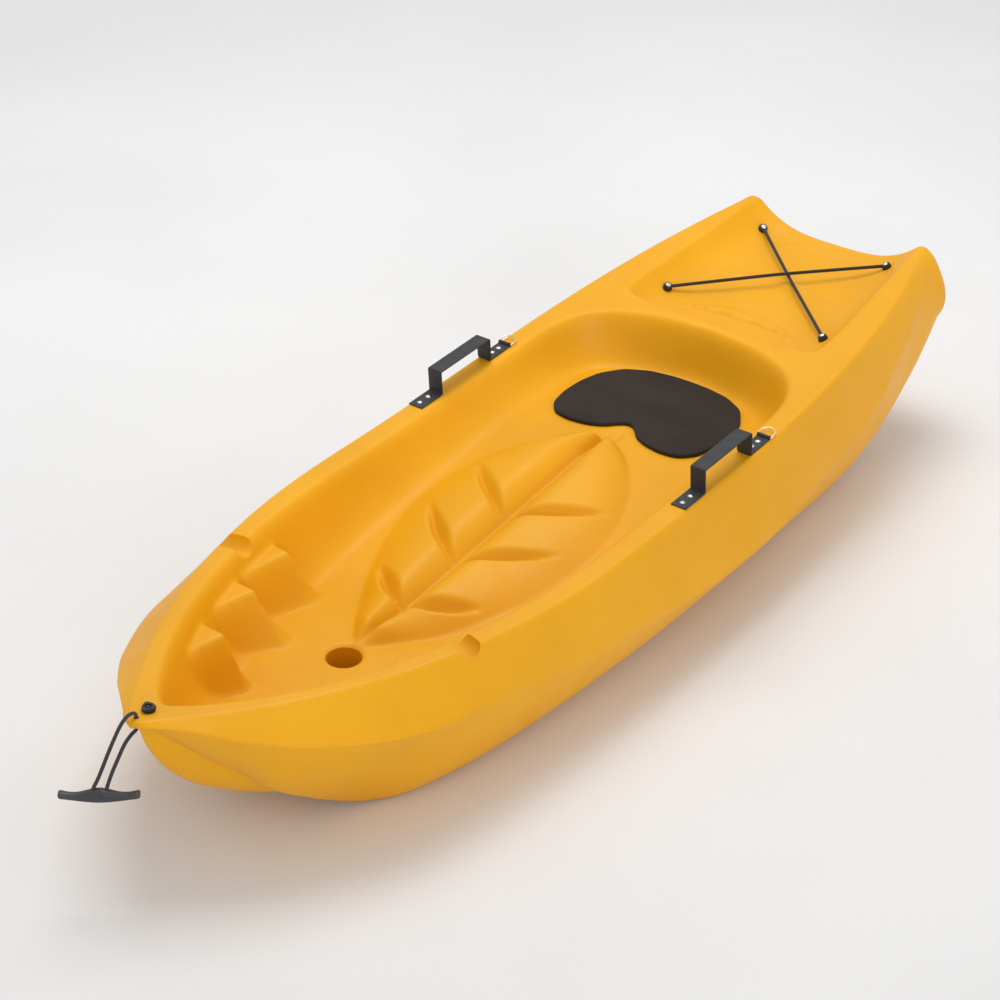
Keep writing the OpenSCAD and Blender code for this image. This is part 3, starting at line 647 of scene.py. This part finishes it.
def webbing():
    """Tight flat webbing: warp ribs along the strap crossed by fine picks."""
    n = Nodes("dark_webbing")
    place = n.add("ShaderNodeAttribute", attribute_name="along").outputs["Fac"]
    across = n.add("ShaderNodeAttribute", attribute_name="across").outputs["Fac"]
    picks = n.math("SINE", n.math("MULTIPLY", place, TAU / 0.0016))
    warp = n.math("SINE", n.math("MULTIPLY", across, TAU / 0.0020))
    weave = n.math("MULTIPLY_ADD", n.math("MULTIPLY", picks, warp), 0.5, 0.5)
    colour = n.ramp(weave, rgb(32, 33, 35), rgb(44, 45, 48), (0.2, 0.8))
    wear = n.noise(60.0, 4.0)
    normal = n.bump(weave, 0.35, 0.0005, n.bump(wear, 0.1, 0.001))
    n.set(Base_Color=colour, Roughness=n.ramp(wear, 0.50, 0.64), Normal=normal)
    n.set(Sheen_Weight=0.15, Sheen_Roughness=0.4, Specular_IOR_Level=0.4)
    return n.material


# ---------------------------------------------------------------- camera and light

VIEW_AZIMUTH, VIEW_ELEVATION = math.radians(37.823), math.radians(30.902)
CAMERA_AT = Vector((2.1738, -2.90475, 2.3539))
FOCAL_SHARE = 2.6          # focal length over the sensor's width


def make_camera():
    """The camera, at the bow's left side and above it."""
    data = bpy.data.cameras.new("camera")
    data.sensor_width = 36
    data.lens = data.sensor_width * FOCAL_SHARE
    data.clip_end = 60
    camera = bpy.data.objects.new("camera", data)
    bpy.context.scene.collection.objects.link(camera)
    a, e = VIEW_AZIMUTH, VIEW_ELEVATION
    back = Vector((math.sin(a) * math.cos(e), -math.cos(a) * math.cos(e), math.sin(e)))
    right = Vector((math.cos(a), math.sin(a), 0))
    up = back.cross(right)
    turned = Matrix((right, up, back)).transposed().to_4x4()
    camera.matrix_world = Matrix.Translation(CAMERA_AT) @ turned
    bpy.context.scene.camera = camera


def area_light(name, at, target, size, power):
    """A soft box that looks at a target."""
    data = bpy.data.lights.new(name, "AREA")
    data.shape = "RECTANGLE"
    data.size, data.size_y = size
    data.energy = power
    light = bpy.data.objects.new(name, data)
    light.location = at
    light.rotation_euler = (Vector(target) - Vector(at)).to_track_quat("-Z", "Y").to_euler()
    bpy.context.scene.collection.objects.link(light)


def low_sun(azimuth, elevation, spread, strength):
    """An even, very soft light from one side; the angles are in degrees."""
    data = bpy.data.lights.new("fill", "SUN")
    data.energy = strength
    data.angle = math.radians(spread)
    light = bpy.data.objects.new("fill", data)
    a, e = math.radians(azimuth), math.radians(elevation)
    towards = Vector((math.cos(e) * math.sin(a), -math.cos(e) * math.cos(a), math.sin(e)))
    light.rotation_euler = towards.to_track_quat("Z", "Y").to_euler()
    bpy.context.scene.collection.objects.link(light)


def make_stage():
    """A plain pale floor, an even pale sky and two soft lights."""
    n = Nodes("pale_floor")
    tint = n.ramp(n.noise(1.5, 2.0), (0.78, 0.78, 0.78, 1), (0.81, 0.81, 0.81, 1))
    n.set(Base_Color=tint, Roughness=0.9, Specular_IOR_Level=0.1)
    half = 14
    corners = [(-half, -half, 0), (half, -half, 0), (half, half, 0), (-half, half, 0)]
    floor = mesh_object("floor", corners, [(0, 1, 2, 3)], n.material, False)
    world = bpy.data.worlds.new("studio")
    bpy.context.scene.world = world
    world.use_nodes = True
    world.node_tree.nodes["Background"].inputs["Color"].default_value = (1, 1, 1, 1)
    world.node_tree.nodes["Background"].inputs["Strength"].default_value = 0.68
    area_light("key", at=(-0.6, 0.8, 3.6), target=(0, 0, 0.2), size=(2.2, 2.2), power=65)
    low_sun(azimuth=60, elevation=12, spread=34, strength=0.86)
    bpy.context.scene.view_settings.view_transform = "Standard"


# ---------------------------------------------------------------- cords

def smooth_path(points, per_span):
    """Points along a smooth curve through the given ones."""
    p = np.asarray(points, float)
    wide = np.vstack([p[:1], p, p[-1:]])
    out = []
    for i in range(len(p) - 1):
        a, b, c, d = wide[i:i + 4]
        for t in np.arange(per_span) / per_span:
            out.append(0.5 * (2*b + (c - a) * t + (2*a - 5*b + 4*c - d) * t**2
                              + (3*b - a - 3*c + d) * t**3))
    return np.array(out + [p[-1]])


def carry(obj, **values):
    """Numbers that a mesh carries at its points, for its material to read."""
    for label, numbers in values.items():
        layer = obj.data.attributes.new(label, "FLOAT", "POINT")
        layer.data.foreach_set("value", np.array(numbers, np.float32))


def tube(name, path, diameter, material, sides=20):
    """A round cord along a path, carrying its length and turn for its braid."""
    path = np.asarray(path, float)
    tangent = np.gradient(path, axis=0)
    tangent /= np.linalg.norm(tangent, axis=1)[:, None]
    side = np.cross(tangent[0], [0.37, 0.21, 0.9])
    along = lengths_along(path)
    r = diameter / 2
    rings, lengths, turns = [], [], []
    for p, t, s in zip(path, tangent, along):
        side = side - t * np.dot(side, t)
        side /= np.linalg.norm(side)
        other = np.cross(t, side)
        for k in range(sides):
            a = TAU * k / sides
            rings.append(p + r * (math.cos(a) * side + math.sin(a) * other))
            lengths.append(s)
            turns.append(a)
    obj = mesh_object(name, rings, skin_faces(len(path), sides), material, True, 60)
    carry(obj, along=lengths, turn_cos=np.cos(turns), turn_sin=np.sin(turns))
    return obj


# The bow rope's route, station by station in millimetres, as the CAD draws it
ROPE = [[0, -905, 264], [0, -905, 271], [0, -906.5, 276], [0, -911, 279.5],
        [-0.5, -918, 280], [-1, -926, 277], [-2, -935, 269], [-3, -946, 255],
        [-4, -958, 238], [-5, -969, 221], [-6, -979, 206], [-7, -988, 195],
        [-7.1, -990.5, 188], [-5.5, -989.3, 181.5], [0, -985, 179], [5.5, -980.7, 181.5],
        [7.1, -979.5, 188], [6.5, -973, 199], [5, -962, 212], [3.5, -948, 226],
        [1.5, -932, 240], [0.5, -918, 247], [0, -909, 249], [0, -905.5, 252], [0, -905, 258]]
ROPE_D, ELASTIC_D = 5.5 * MM, 0.006
TOGGLE_AT, TOGGLE_TURN, TOGGLE_LEN = to_frame([0, -985, 185]), math.radians(38), 0.112


def make_toggle(material):
    """The T toggle: a bar with an arched back, flared ends and a flat front."""
    stations, sides = 49, 28
    rings = []
    for s in np.linspace(-1, 1, stations):
        t = abs(s)
        x = s * TOGGLE_LEN / 2
        arch = 0.0095 - 0.0068 * ease(t / 0.6) + 0.0029 * ease((t - 0.64) / 0.36) ** 1.3
        drop = -0.0105 + 0.0068 * t ** 1.6
        deep = 0.0080 - 0.0022 * ease(t / 0.7) + 0.0008 * ease((t - 0.75) / 0.25)
        close = math.sqrt(max(0.0, 1 - max(0.0, (t - 0.965) / 0.035) ** 2)) * 0.25 + 0.75
        middle, tall = (arch + drop) / 2, (arch - drop) / 2
        for k in range(sides):
            a = TAU * k / sides
            c, d = math.cos(a), math.sin(a)
            power = 0.62
            y = deep * close * math.copysign(abs(c) ** power, c)
            z = middle + tall * close * math.copysign(abs(d) ** power, d)
            rings.append((x, y, z))
    toggle = mesh_object("t_toggle", rings, skin_faces(stations, sides), material, True, 50)
    toggle.data.transform(Matrix.Translation(TOGGLE_AT) @ Matrix.Rotation(TOGGLE_TURN, 4, "Z"))
    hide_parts("rope_toggle")
    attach(toggle, "bow_line")
    return toggle


def make_bow_line(cord_material, toggle_material):
    """The rope loop that hangs from the bow's hole, and its toggle."""
    path = to_frame(smooth_path(ROPE, 8))
    rope = tube("bow_line_rope", path, ROPE_D, cord_material)
    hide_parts("bow_rope")
    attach(rope, "bow_line")
    toggle = make_toggle(toggle_material)


def make_bungee(name, material):
    """An elastic cord between two eyelets, with its CAD node's ends and crossing."""
    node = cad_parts[name]
    co = np.array([v.co for v in node.data.vertices])
    slant = 1.0 if np.corrcoef(co[:, 0], co[:, 1])[0, 1] > 0 else -1.0
    s = co[:, :2] @ np.array([slant, 1.0])
    ends = [co[s < s.min() + 0.004].mean(0), co[s > s.max() - 0.004].mean(0)]
    halfway = (ends[0] + ends[1]) / 2
    middle = co[np.abs(s - (s.min() + s.max()) / 2) < 0.03]
    middle = middle.mean(0) if len(middle) else halfway
    t = np.linspace(0, 1, 140)[:, None]
    bend = 1 - np.abs(2 * t - 1)
    path = ends[0] * (1 - t) + ends[1] * t + (middle - halfway) * (1 - (1 - bend) ** 1.15)
    cord = tube("elastic_" + name.split("_")[-1], path, ELASTIC_D, material)
    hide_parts(name)
    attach(cord, "hull_body")


# ---------------------------------------------------------------- seat pad

PAD = [[0, 266], [14, 258], [32, 236], [58, 223], [94, 217], [126, 222], [148, 246], [157, 288],
       [157, 334], [148, 378], [122, 418], [80, 441], [34, 449], [0, 450]]
PAD_THICK, PAD_EDGE, PAD_CROWN = 7.0, 3.0, 0.9


def rounded_outline(points, sigma, count):
    """A closed outline smoothed along its length and spaced evenly."""
    p = np.asarray(points, float)
    closed = np.vstack([p, p[:1]])
    s = lengths_along(closed)
    even = np.linspace(0, s[-1], count, endpoint=False)
    out = np.stack([np.interp(even, s, closed[:, c]) for c in range(2)], -1)
    k, kernel = bell(sigma / (s[-1] / count))
    return sum(w * np.roll(out, -j, 0) for j, w in zip(k, kernel))


def make_pad(material):
    """The seat pad: die-cut foam with a pressed round edge, crowned a little."""
    other = [[-x, y] for x, y in reversed(PAD[1:-1])]
    outline = rounded_outline(PAD + other, 8.0, 260)
    tangent = np.roll(outline, -1, 0) - np.roll(outline, 1, 0)
    normal = np.stack([tangent[:, 1], -tangent[:, 0]], -1)
    normal /= np.linalg.norm(normal, axis=1)[:, None]
    centre = np.array([0, 325.0])
    base = SEAT_Z + 0.3
    rings = []

    def ring(inset, z):
        xy = outline - normal * inset
        rings.append(np.column_stack([xy, np.full(len(xy), z)]))

    ring(1.2, base)
    ring(0.2, base + 0.8)
    for a in np.linspace(0, math.pi / 2, 8):
        ring(PAD_EDGE * (1 - math.cos(a)), base + PAD_THICK - PAD_EDGE + PAD_EDGE * math.sin(a))
    top_outline = rings[-1][:, :2]
    for share in np.linspace(0.06, 0.94, 16):
        xy = top_outline * (1 - share) + (centre + (top_outline - centre) * 0.02) * share
        crown = PAD_CROWN * ease(share * 3)
        rings.append(np.column_stack([xy, np.full(len(xy), base + PAD_THICK + crown)]))
    points, faces = to_frame(np.vstack(rings)), skin_faces(len(rings), len(outline))
    pad = mesh_object("foam_seat_pad", points, faces, material, True, 50)
    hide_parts("seat_pad")
    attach(pad, "hull_body")


# ---------------------------------------------------------------- side handles

HANDLE_X, HANDLE_Y = 0.265, 0.12775
STRAP_W, STRAP_T = 0.029, 0.002
GRIP_HALF, GRIP_H, FOOT_FAR, LOOP_R = 0.065, 0.042, 0.121, 0.0033
HANDLE_Z = (float(sheer(np.array(40.0))) + float(sheer(np.array(240.0)))) / 2 * MM + 0.0006
HANDLE_SLOPE = math.atan2(float(sheer(np.array(270.0)) - sheer(np.array(10.0))), 260)


def handle_matrix(side):
    """From a handle's own place, with Z off the rim, to the frame."""
    turn = Matrix.Rotation(HANDLE_SLOPE, 4, "X")
    return Matrix.Translation((side * HANDLE_X, HANDLE_Y, HANDLE_Z)) @ turn


def arc(centre, radius, start, end, count=7):
    """Points round a centre, with its angles in degrees."""
    a = np.radians(np.linspace(start, end, count))
    return [[centre[0] + radius * math.cos(t), centre[1] + radius * math.sin(t)] for t in a]


def strap_piece(name, route, material, side, width=STRAP_W):
    """A length of strap along a route of (y, z) points at the middle of its thickness."""
    path = np.asarray(route, float)
    spaced = [path[0]]
    for a, b in zip(path[:-1], path[1:]):
        steps = max(1, int(np.linalg.norm(b - a) / 0.004))
        spaced += [a + (b - a) * (i + 1) / steps for i in range(steps)]
    path = np.array(spaced)
    tangent = np.gradient(path, axis=0)
    tangent /= np.linalg.norm(tangent, axis=1)[:, None]
    normal = np.stack([-tangent[:, 1], tangent[:, 0]], -1)
    along = lengths_along(path)
    half, thick, lip = width / 2, STRAP_T / 2, 0.0007
    section = []
    for face, start in ((1, 60), (-1, 240)):
        corner = face * (half - lip)
        section += [(x, face * thick) for x in np.linspace(-corner, corner, 13)]
        for a in np.radians(np.linspace(start, start - 120, 4)):
            section.append((corner + lip * math.cos(a), thick * math.sin(a) * 0.9))
    vertices, lengths, breadths = [], [], []
    for p, n, s in zip(path, normal, along):
        for x, off in section:
            vertices.append((x, p[0] + n[0] * off, p[1] + n[1] * off))
            lengths.append(s)
            breadths.append(x)
    obj = mesh_object(name, vertices, skin_faces(len(path), len(section)), material, True, 50)
    carry(obj, along=lengths, across=breadths)
    obj.data.transform(handle_matrix(side))
    if mesh_volume(obj.data) < 0:
        obj.data.flip_normals()
    return obj


def mesh_volume(mesh):
    """Less than nothing where the faces look inward."""
    mesh.calc_loop_triangles()
    co = np.array([v.co for v in mesh.vertices])
    t = np.array([tri.vertices[:] for tri in mesh.loop_triangles])
    return float(np.einsum("ij,ij->i", co[t[:, 0]], np.cross(co[t[:, 1]], co[t[:, 2]])).sum() / 6)


def make_handle(word, side, strap):
    """One folded strap handle, in lengths that each bend across one fold."""
    mid = STRAP_T / 2
    leg_front, leg_rear, top = -GRIP_HALF - mid, GRIP_HALF + mid, GRIP_H + mid
    bend = 0.0022
    half_leg = GRIP_H / 2
    place = handle_matrix(side)

    def at(y, z):
        return tuple(place @ Vector((0, y, z)))

    foot = ([[-FOOT_FAR, mid], [leg_front - bend, mid]]
            + arc((leg_front - bend, mid + bend), bend, -90, 0)[1:] + [[leg_front, half_leg]])
    piece = strap_piece(word + "_strap_front", foot, strap, side)
    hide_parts(word + "_front_foot")
    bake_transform(piece)

    rise = ([[leg_front, half_leg], [leg_front, top - bend]]
            + arc((leg_front + bend, top - bend), bend, 180, 90)[1:] + [[0.0, top]])
    piece = strap_piece(word + "_strap_grip_front", rise, strap, side)
    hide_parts(word + "_front_leg")
    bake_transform(piece)

    fall = ([[0.0, top], [leg_rear - bend, top]]
            + arc((leg_rear - bend, top - bend), bend, 90, 0)[1:] + [[leg_rear, 2 * mid]])
    piece = strap_piece(word + "_strap_grip_rear", fall, strap, side)
    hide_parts(word + "_grip", word + "_rear_leg")
    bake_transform(piece)

    loop_y = FOOT_FAR + 0.0022
    tail = ([[leg_rear - 0.0012, mid], [FOOT_FAR - 0.004, mid]]
            + arc((loop_y, LOOP_R), LOOP_R - mid, -100, 200, 14))
    piece = strap_piece(word + "_strap_rear", tail, strap, side, STRAP_W - 0.004)
    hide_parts(word + "_rear_foot")
    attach(piece, "hull_body")


# ---------------------------------------------------------------- the CAD parts that stay

def paint(material, *nodes):
    """A material and smooth shading for CAD pieces that stay as they are."""
    for node in nodes:
        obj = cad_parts[node]
        if not obj.material_slots:
            obj.data.materials.append(material)
        for entry in obj.material_slots:
            entry.material = material
        obj.data.polygons.foreach_set("use_smooth", [True] * len(obj.data.polygons))


yellow = moulded_yellow()
strap = webbing()
nylon = plastic("black_nylon", rgb(26, 26, 28), rgb(38, 38, 40))
rubber = plastic("seal_rubber", rgb(18, 18, 18), rgb(26, 26, 26), (0.7, 0.85))
toggle_grey = plastic("toggle_grey", rgb(46, 47, 50), rgb(62, 63, 66), (0.42, 0.55), 500.0)
steel = metal("bright_steel", (0.86, 0.87, 0.90, 1), (0.16, 0.30))
brass = metal("turned_brass", (0.83, 0.62, 0.30, 1), (0.25, 0.40))
ring_wire = metal("pale_wire", (0.90, 0.72, 0.56, 1), (0.18, 0.32))
rope_braid = braid("rope_braid", rgb(22, 22, 24), rgb(66, 66, 70), 0.0055, 12)
elastic_braid = braid("elastic_braid", rgb(20, 17, 12), rgb(52, 46, 38), 0.0046, 16)

make_camera()
make_bow_line(rope_braid, toggle_grey)
make_stage()
make_hull(yellow)
make_pad(foam_black())
for cord_node in ("bungee_cord_upper", "bungee_cord_lower"):
    make_bungee(cord_node, elastic_braid)
for side_word, side_sign in (("left", 1), ("right", -1)):
    make_handle(side_word, side_sign, strap)
    paint(steel, side_word + "_foot_screws")
    paint(ring_wire, side_word + "_ring")
paint(nylon, "bungee_eyelet_front_left", "bungee_eyelet_front_right", "bungee_eyelet_rear_left",
      "bungee_eyelet_rear_right", "drain_insert", "drain_plug")
paint(rubber, "drain_seal")
paint(steel, "bungee_screws")
paint(brass, "bungee_inserts", "handle_inserts")
